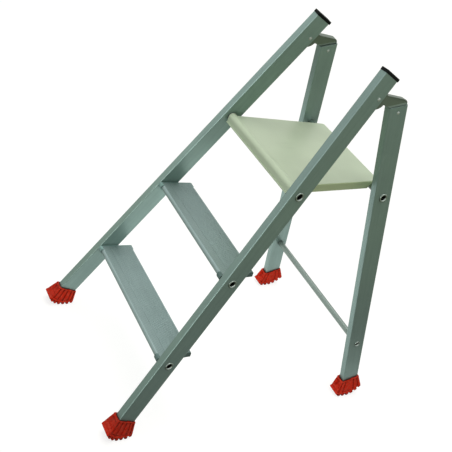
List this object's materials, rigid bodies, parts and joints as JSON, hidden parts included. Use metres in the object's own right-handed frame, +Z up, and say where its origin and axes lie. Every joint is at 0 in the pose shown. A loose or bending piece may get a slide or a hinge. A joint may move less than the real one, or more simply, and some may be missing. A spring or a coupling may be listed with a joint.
{
  "type": "step ladder",
  "caption": "Folding aluminium step ladder with flat treads, a hinged platform, splayed tube frames and flared rubber feet.",
  "frame": {"origin": "bottom centre of the opened ladder, on the floor", "axes": "+X to the right for someone who faces the treads, +Y from the treads to the rear legs, +Z up"},
  "size_m": [0.5188, 0.796, 0.9737],
  "materials": {
    "rail_aluminium": "satin mill finish",
    "tread_aluminium": "satin, ribbed extrusion",
    "tube_aluminium": "drawn tube, bright spread ends",
    "hinge_steel": "pressed sheet, zinc plated",
    "rivet_steel": "bright zinc plated",
    "platform_paint": "smooth pale sage enamel",
    "red_rubber": "moulded, matt",
    "black_plastic": "moulded",
    "grey_plastic": "moulded",
    "nylon": "moulded"
  },
  "bodies": {
    "front_frame": {"front_foot_left": "red_rubber", "front_foot_right": "red_rubber", "hinge_rivet_left": "rivet_steel", "hinge_rivet_right": "rivet_steel", "hinge_washers_left": "nylon", "hinge_washers_right": "nylon", "lower_tie_tube": "tube_aluminium", "lower_tread": "tread_aluminium", "lower_tread_cap_left": "grey_plastic", "lower_tread_cap_right": "grey_plastic", "platform_pivot_tube": "tube_aluminium", "stile_cap_left": "black_plastic", "stile_cap_right": "black_plastic", "stile_left": "rail_aluminium", "stile_right": "rail_aluminium", "upper_tie_tube": "tube_aluminium", "upper_tread": "tread_aluminium", "upper_tread_cap_left": "grey_plastic", "upper_tread_cap_right": "grey_plastic"},
    "rear_frame": {"brace_rivet_left": "rivet_steel", "brace_rivet_right": "rivet_steel", "hinge_bracket_left": "hinge_steel", "hinge_bracket_right": "hinge_steel", "hinge_bush_left": "nylon", "hinge_bush_right": "nylon", "leg_rivet_left": "rivet_steel", "leg_rivet_right": "rivet_steel", "leg_spacers_left": "nylon", "leg_spacers_right": "nylon", "lower_brace_tube": "tube_aluminium", "platform_rest_tube": "tube_aluminium", "rear_foot_left": "red_rubber", "rear_foot_right": "red_rubber", "rear_leg_left": "rail_aluminium", "rear_leg_right": "rail_aluminium"},
    "platform": {"platform_bush_left": "nylon", "platform_bush_right": "nylon", "platform_deck": "platform_paint", "platform_saddle_left": "black_plastic", "platform_saddle_right": "black_plastic"}
  },
  "joints": [
    {"name": "rear_frame_fold", "type": "hinge", "parent": "front_frame", "child": "rear_frame", "pos_m": [0, 0.05747, 0.90532], "axis": [-1, 0, 0], "range_deg": [0, 39.6]},
    {"name": "platform_fold", "type": "hinge", "parent": "front_frame", "child": "platform", "pos_m": [0, -0.0652, 0.66566], "axis": [1, 0, 0], "range_deg": [0, 65.3]}
  ],
  "couplings": [
    {"joint": "platform_fold", "follows": "rear_frame_fold", "ratio": 1.6489}
  ]
}
